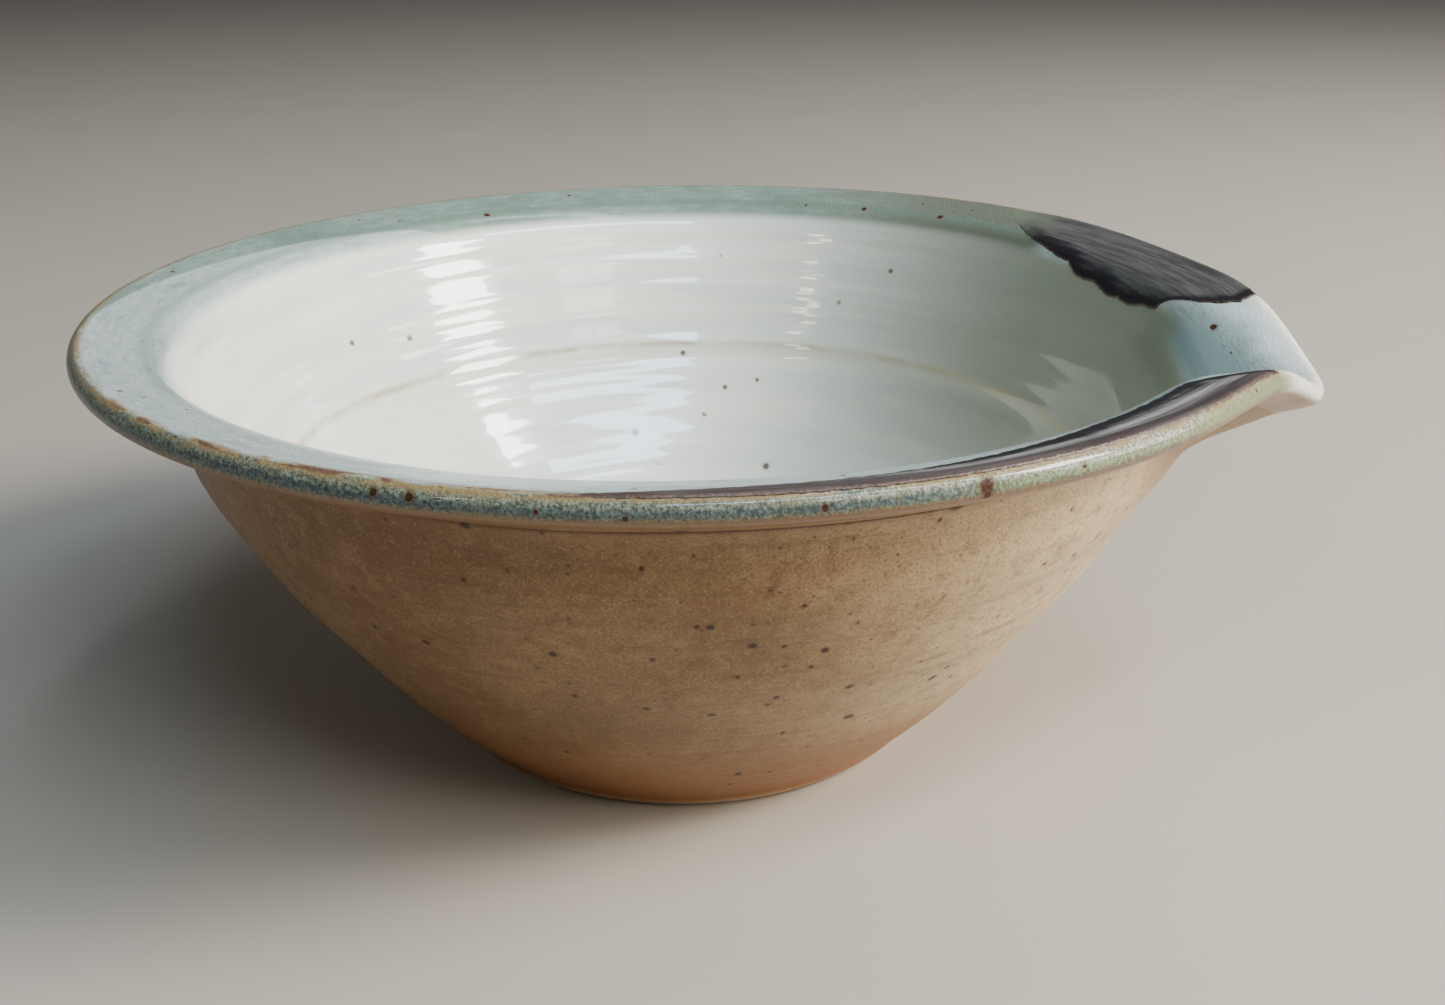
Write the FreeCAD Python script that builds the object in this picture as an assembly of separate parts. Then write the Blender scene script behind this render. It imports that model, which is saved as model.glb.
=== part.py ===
import FreeCAD, Part
import math
import os

# Hand-thrown stoneware bowl with a flat rolled rim and one pulled pouring spout.
# Millimetres. Z is the turning axis, Z = 0 is the plane that the foot ring stands on,
# and the spout points along +X. The clay is one solid; each fired coat of glaze is a
# thin solid of its own that lies on the clay, or on the coat below it, face to face.

# Driving dimensions
ROLL_RADIUS = 2.8            # rounded bead along the outer edge of the rim
ROLL_CENTRE = (127.2, 99.2)  # distance from the axis, height
LIP_ROLL_RADIUS = 2.6        # the same bead at the tip of the spout
LIP_ROLL_CENTRE = (136.5, 88.0)
ROLL_ARC = (112.0, -62.0)    # degrees, from the flange round to the underside
ROLL_STATIONS = 6

SPOUT_REACH_ANGLE = 12.5     # degrees to the side at which the outward pull has faded
SPOUT_REACH_POWER = 1.9
SPOUT_DIP_ANGLE = 10.8       # the same for the downward pull
SPOUT_DIP_POWER = 2.3
SHOULDER_SAG = 1.5           # the rim sags a little on one side of the spout
SAG_BOTTOM = 60.0            # the wall keeps its shape below this height
SHOULDER_ANGLE = 27.0
SHOULDER_SPREAD = 20.0

GLAZE = 0.5                  # thickness of the liner, rim and outer coats
IRON = 0.35                  # thickness of the iron brushed over the rim
FOOT_INNER_RADIUS = 48.5
FOOT_RECESS = 4.0
RECESS_FLOOR_RADIUS = 45.0
GROOVE_RADIUS = 0.7          # line cut through the glaze into the clay, below the flange
GROOVE_END_ANGLE = 40.0      # the line stops this far to each side of the spout

ANGLE_COUNT = 96             # sections round the axis

# Half section as (distance from the axis, height), from the middle of the floor up
# the inside, over the rim and down the outside, away from the spout.
INSIDE = [
    (24.0, 10.0), (38.0, 11.4), (55.0, 17.3), (71.0, 31.0), (83.5, 47.2), (93.3, 61.8),
    (100.6, 76.7), (107.2, 89.3), (110.7, 95.6), (114.0, 98.7), (119.0, 100.3),
]
OUTSIDE = [
    (122.5, 94.0), (118.0, 91.8), (114.3, 89.7), (109.7, 76.7), (103.7, 63.7), (96.4, 50.7),
    (87.9, 39.0), (78.3, 26.0), (67.5, 13.0), (60.5, 5.6), (57.0, 1.7),
]
FOOT_EDGE = [(55.8, 0.35), (55.0, 0.0)]

# The same stations through the middle of the spout.
SPOUT_INSIDE = [
    (24.0, 10.0), (38.0, 11.4), (55.0, 17.3), (71.0, 31.0), (83.5, 47.0), (94.0, 60.3),
    (103.2, 71.4), (112.5, 79.2), (118.9, 83.0), (124.4, 85.8), (130.3, 88.7),
]
SPOUT_OUTSIDE = [
    (131.0, 83.2), (124.8, 80.0), (118.0, 76.5), (109.5, 68.0), (102.8, 59.3), (96.1, 49.5),
    (88.0, 38.8), (78.3, 26.0), (67.5, 13.0), (60.5, 5.6), (57.0, 1.7),
]

# Station numbers at which one coat ends and the next begins
FLOOR_STATION = 0
IRON_INNER_STATION = 7
LINER_END_STATION = 9
CREST_STATION = 12
IRON_OUTER_STATION = 14
RIM_END_STATION = 17
GROOVE_STATION = 19
GLAZE_END_STATION = 27

# Iron patches on the rim, one on each side of the spout. Each starts narrow at its tail
# and widens to its head beside the spout, where the inner corner stops short by a slant.
# The growth is the power of the widening from tail to head.
RIGHT_PATCH = {
    "tail": -83.0, "head": -14.0, "slant": -5.0, "widths": (1.2, 13.0), "growth": 0.8, "wave": 0.3,
}
LEFT_PATCH = {
    "tail": 57.0, "head": 13.5, "slant": 5.0, "widths": (8.0, 19.0), "growth": 0.4, "wave": 0.7,
}
PATCH_POINTS = 13
PATCH_WAVES = 4.5
PRISM_BOTTOM = 70.0
PRISM_HEIGHT = 40.0


def roll(centre, radius):
    """Stations along the rounded bead of the rim."""
    first, last = ROLL_ARC
    stations = []
    for i in range(ROLL_STATIONS):
        angle = math.radians(first + (last - first) * i / (ROLL_STATIONS - 1))
        stations.append((centre[0] + radius * math.cos(angle), centre[1] + radius * math.sin(angle)))
    return stations


PLAIN = INSIDE + roll(ROLL_CENTRE, ROLL_RADIUS) + OUTSIDE + FOOT_EDGE
SPOUT = SPOUT_INSIDE + roll(LIP_ROLL_CENTRE, LIP_ROLL_RADIUS) + SPOUT_OUTSIDE + FOOT_EDGE
COUNT = len(PLAIN)


def pull(angle, reach, power):
    """How much of the spout's pull is left at an angle from its middle, 1 to 0."""
    return math.exp(-abs(angle / reach) ** power)


def sag(angle, station):
    """Drop of the rim beside the spout, which dies out down both walls."""
    beside = math.exp(-((angle - SHOULDER_ANGLE) / SHOULDER_SPREAD) ** 2)
    height = max(0.0, (PLAIN[station][1] - SAG_BOTTOM) / (ROLL_CENTRE[1] - SAG_BOTTOM))
    return SHOULDER_SAG * beside * height ** 2


def section(angle):
    """Stations of the glazed surface at one angle (degrees) round the axis."""
    outward = pull(angle, SPOUT_REACH_ANGLE, SPOUT_REACH_POWER)
    downward = pull(angle, SPOUT_DIP_ANGLE, SPOUT_DIP_POWER)
    stations = []
    for i in range(COUNT):
        r = PLAIN[i][0] + outward * (SPOUT[i][0] - PLAIN[i][0])
        z = PLAIN[i][1] + downward * (SPOUT[i][1] - PLAIN[i][1]) - sag(angle, i)
        stations.append((r, z))
    return stations


def offset(stations, distance):
    """Moves stations along the section's normal, out of the clay when positive.

    The floor station moves straight up or down, and the bare foot edge stays put.
    """
    moved = []
    for i in range(COUNT):
        r, z = stations[i]
        if i == FLOOR_STATION:
            moved.append((r, z + distance))
        elif i > GLAZE_END_STATION:
            moved.append((r, z))
        else:
            before = stations[i - 1]
            after = stations[i + 1]
            along = FreeCAD.Vector(after[0] - before[0], after[1] - before[1], 0).normalize()
            moved.append((r - along.y * distance, z + along.x * distance))
    return moved


def ring_poles(points):
    """Poles of the uniform periodic cubic that passes through a closed ring of points."""
    count = len(points)
    poles = list(points)
    for sweep in range(40):
        for i in range(count):
            poles[i] = (points[i] * 6 - poles[i - 1] - poles[(i + 1) % count]) * 0.25
    return poles


def station_parameters():
    """Distance along the plain section of each station, from 0 to 1."""
    lengths = [0.0]
    for i in range(1, COUNT):
        step = math.dist(PLAIN[i - 1], PLAIN[i])
        lengths.append(lengths[-1] + step)
    return [length / lengths[-1] for length in lengths]


PARAMETERS = station_parameters()


def bowl_surface(distance):
    """Smooth surface through every section, offset from the glazed surface by a distance."""
    rows = []
    for i in range(ANGLE_COUNT):
        degrees = 360.0 * i / ANGLE_COUNT - 180.0
        turn = math.radians(degrees)
        points = []
        for r, z in offset(section(degrees), distance):
            points.append(FreeCAD.Vector(r * math.cos(turn), r * math.sin(turn), z))
        curve = Part.BSplineCurve()
        curve.interpolate(Points=points, Parameters=PARAMETERS)
        rows.append(curve.getPoles())
    columns = [ring_poles([row[k] for row in rows]) for k in range(len(rows[0]))]
    poles = [[column[i - 1] for column in columns] for i in range(ANGLE_COUNT)]
    surface = Part.BSplineSurface()
    surface.buildFromPolesMultsKnots(
        poles,
        [1] * (ANGLE_COUNT + 1),
        curve.getMultiplicities(),
        [float(i) for i in range(ANGLE_COUNT + 1)],
        curve.getKnots(),
        True,
        False,
        3,
        3,
    )
    return surface


def patch(surface, first, last):
    """The part of a surface between two stations."""
    return surface.toShape(0.0, float(ANGLE_COUNT), PARAMETERS[first], PARAMETERS[last])


def edge_at(face, surface, station):
    """The closed edge of a patch that lies on one station."""
    target = surface.value(0.0, PARAMETERS[station])
    for edge in face.Edges:
        if edge.isClosed() and edge.valueAt(edge.FirstParameter).distanceToPoint(target) < 1e-4:
            return edge
    raise ValueError("no edge at station %d" % station)


def solid_of(faces):
    """One closed solid from faces that meet along shared edges."""
    shape = Part.makeCompound(faces)
    shape.sewShape(1e-4)
    solid = Part.Solid(shape.Shells[0])
    if solid.Volume < 0:
        solid.reverse()
    return solid


def disc(edge):
    """Flat face inside a closed edge."""
    return Part.Face(Part.Wire([edge]))


def coat(lower, upper, first, last):
    """Thin solid between two surfaces, from one station to another."""
    under = patch(lower, first, last)
    over = patch(upper, first, last)
    faces = [under, over]
    for station in (first, last):
        inner = edge_at(under, lower, station)
        outer = edge_at(over, upper, station)
        if station == FLOOR_STATION:
            faces += [disc(inner), disc(outer)]
        else:
            faces.append(Part.makeRuledSurface(inner, outer))
    return solid_of(faces)


def groove_cutter(surface):
    """Round bar laid along the groove line, from one side of the spout round to the other."""
    per_degree = ANGLE_COUNT / 360.0
    first = (180.0 + GROOVE_END_ANGLE) * per_degree
    last = (540.0 - GROOVE_END_ANGLE) * per_degree
    line = surface.vIso(PARAMETERS[GROOVE_STATION]).toShape(first, last)
    ring = Part.makeCircle(GROOVE_RADIUS, line.valueAt(first), line.tangentAt(first))
    return Part.Wire([line]).makePipeShell([Part.Wire([ring])], True, True)


def stoneware_body(clay, groove):
    """The thrown and trimmed clay: floor, wall, flange, spout and foot ring."""
    wall = patch(clay, FLOOR_STATION, COUNT - 1)
    floor = disc(edge_at(wall, clay, FLOOR_STATION))
    base = disc(edge_at(wall, clay, COUNT - 1))
    blank = solid_of([wall, floor, base])
    recess = Part.makeCone(FOOT_INNER_RADIUS, RECESS_FLOOR_RADIUS, FOOT_RECESS)
    return blank.cut(recess).cut(groove).Solids[0]


def iron_outline(spec):
    """Closed outline of an iron patch, seen from above."""
    narrow, wide = spec["widths"]
    outer = []
    inner = []
    for i in range(PATCH_POINTS):
        share = i / (PATCH_POINTS - 1)
        angle = spec["tail"] + (spec["head"] - spec["tail"]) * share
        turn = math.radians(angle)
        crest = section(angle)[CREST_STATION][0]
        outer.append(FreeCAD.Vector(crest * math.cos(turn), crest * math.sin(turn), PRISM_BOTTOM))
        angle += spec["slant"] * share
        turn = math.radians(angle)
        width = narrow + (wide - narrow) * share ** spec["growth"]
        width += spec["wave"] * math.sin(2 * math.pi * PATCH_WAVES * share) * share
        r = section(angle)[CREST_STATION][0] - width
        inner.append(FreeCAD.Vector(r * math.cos(turn), r * math.sin(turn), PRISM_BOTTOM))
    edges = []
    for points in (outer, inner[::-1]):
        curve = Part.BSplineCurve()
        curve.interpolate(Points=points)
        edges.append(curve.toShape())
    edges.insert(1, Part.LineSegment(outer[-1], inner[-1]).toShape())
    edges.append(Part.LineSegment(inner[0], outer[0]).toShape())
    return Part.Wire(edges)


def iron_patch(layer, spec):
    """Iron brushed over the rim: the iron layer inside the patch's outline."""
    prism = Part.Face(iron_outline(spec)).extrude(FreeCAD.Vector(0, 0, PRISM_HEIGHT))
    return layer.common(prism).Solids[0]


def main():
    glazed = bowl_surface(0.0)
    clay = bowl_surface(-GLAZE)
    groove = groove_cutter(glazed)
    iron = coat(glazed, bowl_surface(IRON), IRON_INNER_STATION, IRON_OUTER_STATION)
    nodes = {
        "stoneware_body": stoneware_body(clay, groove),
        "liner_glaze": coat(clay, glazed, FLOOR_STATION, LINER_END_STATION),
        "rim_glaze": coat(clay, glazed, LINER_END_STATION, RIM_END_STATION),
        "outer_glaze": coat(clay, glazed, RIM_END_STATION, GLAZE_END_STATION).cut(groove).Solids[0],
        "iron_patch_right": iron_patch(iron, RIGHT_PATCH),
        "iron_patch_left": iron_patch(iron, LEFT_PATCH),
    }
    os.makedirs("parts", exist_ok=True)
    for name, shape in nodes.items():
        box = shape.BoundBox
        print(name, shape.ShapeType, shape.isValid(), round(shape.Volume, 1), len(shape.Faces), box)
        shape.exportStep("parts/%s.step" % name)


main()
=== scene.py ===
import math

import bpy
import numpy as np
from mathutils import Matrix, Vector


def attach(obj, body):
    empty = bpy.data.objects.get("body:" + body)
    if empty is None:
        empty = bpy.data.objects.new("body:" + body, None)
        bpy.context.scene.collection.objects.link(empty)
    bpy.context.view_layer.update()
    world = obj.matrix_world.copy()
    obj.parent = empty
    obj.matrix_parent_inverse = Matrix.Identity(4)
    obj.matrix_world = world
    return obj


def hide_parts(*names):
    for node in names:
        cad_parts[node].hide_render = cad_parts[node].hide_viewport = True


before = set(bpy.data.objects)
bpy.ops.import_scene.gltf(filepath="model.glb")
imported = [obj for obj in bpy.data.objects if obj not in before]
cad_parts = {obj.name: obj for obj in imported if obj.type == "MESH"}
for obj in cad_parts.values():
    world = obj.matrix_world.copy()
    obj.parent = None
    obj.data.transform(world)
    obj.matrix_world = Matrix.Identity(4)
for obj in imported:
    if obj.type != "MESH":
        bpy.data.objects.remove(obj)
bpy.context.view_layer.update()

# A hand-thrown stoneware bowl: bare clay, three coats of glaze and two brushed iron patches.
# Z is the turning axis, the foot stands at Z = 0 and the spout points along +X. Outlines and
# marks are in millimetres, and meshes are written in metres. A name such as GLAZE_END or CREST
# is a station's number, and ALONG gives its distance along the section.

MM = 0.001
RNG = np.random.default_rng(11)

# ---------------------------------------------------------------- section of the bowl

# Stations of the glazed section, from the floor over the rim down to the foot: distance
# from the axis and height, on the plain wall and in the middle of the spout
INSIDE = [
    (24.0, 10.0), (38.0, 11.4), (55.0, 17.3), (71.0, 31.0), (83.5, 47.2), (93.3, 61.8),
    (100.6, 76.7), (107.2, 89.3), (110.7, 95.6), (114.0, 98.7), (119.0, 100.3),
]
OUTSIDE = [
    (122.5, 94.0), (118.0, 91.8), (114.3, 89.7), (109.7, 76.7), (103.7, 63.7), (96.4, 50.7),
    (87.9, 39.0), (78.3, 26.0), (67.5, 13.0), (60.5, 5.6), (57.0, 1.7),
]
SPOUT_INSIDE = [
    (24.0, 10.0), (38.0, 11.4), (55.0, 17.3), (71.0, 31.0), (83.5, 47.0), (94.0, 60.3),
    (103.2, 71.4), (112.5, 79.2), (118.9, 83.0), (124.4, 85.8), (130.3, 88.7),
]
SPOUT_OUTSIDE = [
    (131.0, 83.2), (124.8, 80.0), (118.0, 76.5), (109.5, 68.0), (102.8, 59.3), (96.1, 49.5),
    (88.0, 38.8), (78.3, 26.0), (67.5, 13.0), (60.5, 5.6), (57.0, 1.7),
]
FOOT_EDGE = [(55.8, 0.35), (55.0, 0.0)]
ROLL = {"centre": (127.2, 99.2), "radius": 2.8}
LIP_ROLL = {"centre": (136.5, 88.0), "radius": 2.6}
ROLL_ARC = np.radians(np.linspace(112.0, -62.0, 6))

# Places in the list of stations
RING = 5                 # ochre line round the inside
CORNER = 8               # where the inside turns out into the flange
LINER_END = 9
ROLL_FIRST = 11
CREST = 12
ROLL_LAST = 16
RIM_END = 17
GROOVE = 19
FOOT_BEND = 26
GLAZE_END = 27

GROOVE_DEPTH = 0.75
GROOVE_HALF_WIDTH = 0.8
GROOVE_ENDS = (30.0, 44.0)    # degrees from the spout over which the line sets in

GLAZE = 0.5              # thickness of a coat
SINK = -0.12             # the hand's marks stay below the smooth surface
IRON = 0.34              # bead of the iron patches, just in from their edges
IRON_MIDDLE = 0.12
IRON_EDGE = 0.55         # distance over which their edges round off
IRON_FOOTING = 0.03      # depth to which they sit in the glaze
RIM_RADIUS = 125.0       # at which runs along the patches are measured


def roll(spec):
    """Stations round the rounded bead of the rim."""
    x, z = spec["centre"]
    return [(x + spec["radius"] * math.cos(a), z + spec["radius"] * math.sin(a)) for a in ROLL_ARC]


PLAIN = np.array(INSIDE + roll(ROLL) + OUTSIDE + FOOT_EDGE)
SPOUT = np.array(SPOUT_INSIDE + roll(LIP_ROLL) + SPOUT_OUTSIDE + FOOT_EDGE)
ALONG = np.concatenate([[0.0], np.cumsum(np.hypot(*np.diff(PLAIN, axis=0).T))])
FLOOR_RADIUS = PLAIN[0][0]
FLOOR_SLOPE = 0.045
AXIS = -FLOOR_RADIUS + 0.6    # where the rows of the floor stop, just short of the turning axis

# The spout's pull on the section: its reach in degrees and how steeply it ends
OUTWARD_PULL = (12.5, 1.9)
DOWNWARD_PULL = (10.8, 2.3)
# The rim sags a little on one side of the spout: depth, middle and reach
SAG_DEPTH = 1.5
SAG_MIDDLE = 27.0
SAG_REACH = 20.0
SAG_FROM = 60.0          # height at which the sag sets in
SAG_HEIGHT = 39.2        # and the height over which it grows to its full depth
SURFACE_BLOCK = 4000     # points worked out at a time


def pull(angle, reach, power):
    """Share of the spout's pull left at an angle in degrees from its middle."""
    return np.exp(-np.abs(angle / reach) ** power)


def stations(angles):
    """Section stations (distance from the axis, height) at each angle in degrees."""
    a = ((np.asarray(angles, float) + 180.0) % 360.0 - 180.0)[:, None]
    outward = pull(a, *OUTWARD_PULL)
    downward = pull(a, *DOWNWARD_PULL)
    sag = SAG_DEPTH * np.exp(-((a - SAG_MIDDLE) / SAG_REACH) ** 2)
    high = np.maximum(0.0, (PLAIN[:, 1] - SAG_FROM) / SAG_HEIGHT) ** 2
    r = PLAIN[:, 0] + outward * (SPOUT[:, 0] - PLAIN[:, 0])
    z = PLAIN[:, 1] + downward * (SPOUT[:, 1] - PLAIN[:, 1]) - sag * high
    return np.stack([r, z], axis=-1)


def bends(values):
    """Second derivatives of the natural cubic through values at ALONG."""
    n = len(ALONG)
    h = np.diff(ALONG)
    system = np.eye(n)
    right = np.zeros(values.shape)
    for i in range(1, n - 1):
        system[i, i - 1:i + 2] = (h[i - 1], 2 * (h[i - 1] + h[i]), h[i])
        right[:, i] = 6 * ((values[:, i + 1] - values[:, i]) / h[i]
                           - (values[:, i] - values[:, i - 1]) / h[i - 1])
    return np.einsum("ij,ajk->aik", np.linalg.inv(system), right)


def spans(at):
    """For each distance: the station before it, the gap to the next, and how far in it is."""
    k = np.clip(np.searchsorted(ALONG, at) - 1, 0, len(ALONG) - 2)
    return k, ALONG[k + 1] - ALONG[k], at - ALONG[k]


def cubic(low, high, bend_low, bend_high, w, t):
    """One span of the natural cubic."""
    u = w - t
    return ((bend_low * u ** 3 + bend_high * t ** 3) / (6 * w)
            + (low / w - bend_low * w / 6) * u + (high / w - bend_high * w / 6) * t)


def surface(angles, along):
    """Grid of points on the smooth glazed surface: angles by distances along the section.

    Distances below 0 run from the first station in to the axis.
    """
    values = stations(angles)
    bend = bends(values)
    k, w, t = spans(np.maximum(along, 0.0))
    w = w[None, :, None]
    t = t[None, :, None]
    section = cubic(values[:, k], values[:, k + 1], bend[:, k], bend[:, k + 1], w, t)
    r = section[..., 0] + np.minimum(along, 0.0)
    dish = 1.0 - (np.clip(FLOOR_RADIUS + along, 0.0, FLOOR_RADIUS) / FLOOR_RADIUS) ** 2
    z = section[..., 1] - FLOOR_SLOPE * FLOOR_RADIUS / 2 * dish
    turn = np.radians(angles)[:, None]
    return np.stack([r * np.cos(turn), r * np.sin(turn), z], axis=-1)


def surface_at(angles, along):
    """Points of the smooth glazed surface at matching lists of angles and distances."""
    blocks = []
    for start in range(0, len(angles), SURFACE_BLOCK):
        a = angles[start:start + SURFACE_BLOCK]
        values = stations(a)
        bend = bends(values)
        k, w, t = spans(along[start:start + SURFACE_BLOCK])
        rows = np.arange(len(a))
        r, z = cubic(values[rows, k], values[rows, k + 1], bend[rows, k], bend[rows, k + 1],
                     w[:, None], t[:, None]).T
        turn = np.radians(a)
        blocks.append(np.stack([r * np.cos(turn), r * np.sin(turn), z], axis=-1))
    return np.concatenate(blocks)


def unit(vectors):
    return vectors / np.maximum(np.linalg.norm(vectors, axis=-1, keepdims=True), 1e-9)


def normals(points):
    """Unit normals of a grid that closes on itself round the axis, pointing out of the clay."""
    round_axis = np.roll(points, -1, axis=0) - np.roll(points, 1, axis=0)
    return unit(np.cross(np.gradient(points, axis=1), round_axis))


def normals_at(angles, along):
    """Unit normals at matching lists of angles and distances."""
    round_axis = surface_at(angles + 0.1, along) - surface_at(angles - 0.1, along)
    down_section = surface_at(angles, along + 0.05) - surface_at(angles, along - 0.05)
    return unit(np.cross(down_section, round_axis))


# ---------------------------------------------------------------- relief left by the hands

ONE_TURN = 6.28          # range of the random phases


def ring_waves(count, lengths, size):
    """Random waves along the section that drift a little round the axis."""
    return [
        (RNG.uniform(*lengths), RNG.uniform(0.5, 1.0) * size, RNG.integers(0, 3), RNG.uniform(0, ONE_TURN))
        for _ in range(count)
    ]


def soft_bumps(count, turns, lengths, size):
    """Random soft hollows and swellings of a hand-made surface."""
    return [
        (RNG.integers(*turns), RNG.uniform(*lengths), RNG.uniform(0.4, 1.0) * size,
         RNG.uniform(0, ONE_TURN), RNG.uniform(0, ONE_TURN))
        for _ in range(count)
    ]


THROWING = ring_waves(4, (3.6, 5.6), 0.030) + ring_waves(5, (7.0, 13.0), 0.050)
TRIMMING = ring_waves(9, (2.6, 12.0), 0.022)
HAND = soft_bumps(14, (2, 13), (18.0, 70.0), 0.045)


def fade(value, low, high):
    """Smooth step from 0 at low to 1 at high."""
    t = np.clip((value - low) / (high - low), 0.0, 1.0)
    return t * t * (3 - 2 * t)


def rings_relief(terms, turn, along):
    return sum(size * np.sin(2 * math.pi * along / length + drift * turn + phase)
               for length, size, drift, phase in terms)


def hand_relief(turn, along):
    return sum(size * np.sin(turns * turn + phase) * np.sin(2 * math.pi * along / length + shift)
               for turns, length, size, phase, shift in HAND)


def relief(turn, along):
    """Height of the hand's marks on the smooth surface."""
    inside = 1.0 - fade(along, ALONG[CORNER] - 6.0, ALONG[LINER_END])
    inside = inside * (0.25 + 0.75 * fade(along, ALONG[RING] - 14.0, ALONG[RING] - 1.0))
    outside = fade(along, ALONG[GROOVE] + 1.0, ALONG[GROOVE] + 8.0)
    above_foot = 1.0 - fade(along, ALONG[FOOT_BEND], ALONG[GLAZE_END])
    total = inside * rings_relief(THROWING, turn, along)
    total = total + outside * above_foot * rings_relief(TRIMMING, turn, along)
    total = total + above_foot * (hand_relief(turn, along) + SINK)
    ring = ALONG[RING] + 0.8 * np.sin(2 * turn + 0.6)
    ridge = 0.22 * np.exp(-((along - ring) / 1.8) ** 2)
    hollow = 0.25 * np.exp(-((along - ring + 4.5) / 3.0) ** 2)
    return total + ridge - hollow


def groove_depth(turn, along):
    """Line cut below the flange, which runs out beside the spout."""
    away = fade(np.abs(np.degrees(turn)), *GROOVE_ENDS)
    line = ALONG[GROOVE] + 0.25 * np.sin(3 * turn + 1.0)
    return GROOVE_DEPTH * away * np.clip(1.0 - np.abs(along - line) / GROOVE_HALF_WIDTH, 0.0, 1.0)


# ---------------------------------------------------------------- meshes

SHARP_ANGLE = 42.0
ROUND_STEPS = 512


def make_mesh(name, vertices, faces, attributes):
    """Object from vertices in millimetres, with float attributes on its points."""
    mesh = bpy.data.meshes.new(name)
    mesh.from_pydata((np.asarray(vertices) * MM).tolist(), [], faces)
    for key, values in attributes.items():
        layer = mesh.attributes.new(key, "FLOAT", "POINT")
        layer.data.foreach_set("value", np.asarray(values, np.float32))
    mesh.shade_smooth()
    mesh.set_sharp_from_angle(angle=math.radians(SHARP_ANGLE))
    piece = bpy.data.objects.new(name, mesh)
    bpy.context.collection.objects.link(piece)
    return piece


def turned_mesh(name, rows, along, capped):
    """Closed mesh from rows of points round the axis (angles by rows by xyz).

    Capped, the first and last rows close onto the axis; otherwise the last row joins the first.
    """
    count, length = rows.shape[:2]
    vertices = rows.reshape(-1, 3).tolist()
    values = np.tile(along, count).tolist()
    pairs = [(j, j + 1) for j in range(length - 1)]
    if not capped:
        pairs.append((length - 1, 0))
    faces = []
    for i in range(count):
        here = i * length
        there = (i + 1) % count * length
        faces += [(here + j, here + k, there + k, there + j) for j, k in pairs]
    if capped:
        for j, first, second in ((0, length, 0), (length - 1, 0, length)):
            centre = len(vertices)
            vertices.append([0.0, 0.0, rows[:, j, 2].mean()])
            values.append(values[j])
            size = count * length
            faces += [((i * length + j + first) % size, (i * length + j + second) % size, centre)
                      for i in range(count)]
    return make_mesh(name, vertices, faces, {"along": values})


ANGLES = np.linspace(-180.0, 180.0, ROUND_STEPS, endpoint=False)
TURN = np.radians(ANGLES)[:, None]


def glazed_rows(along, lower=0.0):
    """Rows of the finished surface, or of the clay under it when lowered."""
    points = surface(ANGLES, along)
    height = relief(TURN, along) - groove_depth(TURN, along) - lower
    return points + normals(points) * height[..., None]


def spaced(first, last, step):
    """Even distances from first to last, about a step apart."""
    return np.linspace(first, last, max(2, int(round((last - first) / step)) + 1))


def clay_under(first, last):
    """Distances of the hidden clay surface, close together only at the groove."""
    sparse = spaced(first, last, 4.0)
    line = ALONG[GROOVE]
    if first < line < last:
        sparse = np.concatenate([sparse[np.abs(sparse - line) > 2.5], line + np.linspace(-2, 2, 9)])
    return np.sort(sparse)


def coat(name, along, drop=0.0, capped=False):
    """Closed solid of one coat of glaze: its face, round the edge and back along the clay."""
    lowered = np.broadcast_to(drop, along.shape)[:, None]
    face = glazed_rows(along) - normals(surface(ANGLES, along)) * lowered
    hidden = clay_under(along[0], along[-1])
    rows = np.concatenate([face, glazed_rows(hidden, GLAZE)[:, ::-1]], axis=1)
    return turned_mesh(name, rows, np.concatenate([along, hidden[::-1]]), capped)


def liner_coat():
    return coat("liner_coat", spaced(AXIS, ALONG[LINER_END], 1.05), capped=True)


def rim_coat():
    along = np.concatenate([
        spaced(ALONG[LINER_END], ALONG[ROLL_FIRST] - 0.5, 0.8)[:-1],
        spaced(ALONG[ROLL_FIRST] - 0.5, ALONG[ROLL_LAST] + 0.5, 0.32)[:-1],
        spaced(ALONG[ROLL_LAST] + 0.5, ALONG[RIM_END], 0.35),
    ])
    return coat("rim_coat", along)


def outer_coat():
    """The outside coat, with a thick rounded edge above the bare foot."""
    line = ALONG[GROOVE]
    last = ALONG[GLAZE_END]
    along = np.concatenate([
        spaced(ALONG[RIM_END], line - 2.0, 0.7)[:-1],
        spaced(line - 2.0, line + 2.0, 0.25)[:-1],
        spaced(line + 2.0, last - 4.0, 1.1)[:-1],
        spaced(last - 4.0, last, 0.3),
    ])
    shoulder = 1.0 - np.sqrt(1.0 - (1.0 - np.clip((last - along) / 0.7, 0.0, 1.0)) ** 2)
    bead = 0.30 * np.exp(-((last - along - 1.5) / 0.9) ** 2)
    return coat("outer_coat", along, drop=(GLAZE - 0.05) * shoulder - bead)


def foot_profile():
    """The bare clay below the glaze: foot edge, standing ring, recess wall and base."""
    edge = [
        (55.6, 0.55), (55.0, 0.12), (54.2, 0.0), (52.0, 0.0), (49.8, 0.0), (49.0, 0.12), (48.3, 0.6),
    ]
    wall = [(47.6, 1.8), (47.0, 2.9), (46.2, 3.7), (45.0, 4.05)]
    share = np.linspace(0.0, 1.0, 60)
    base_edge = 43.8
    base_middle = 0.9
    r = base_edge + (base_middle - base_edge) * share
    marks = 0.09 * np.sin(r * 1.9) * np.sqrt(1 - share)
    return np.array(edge + wall + list(zip(r, 4.1 + 0.35 * share + marks)))


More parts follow.
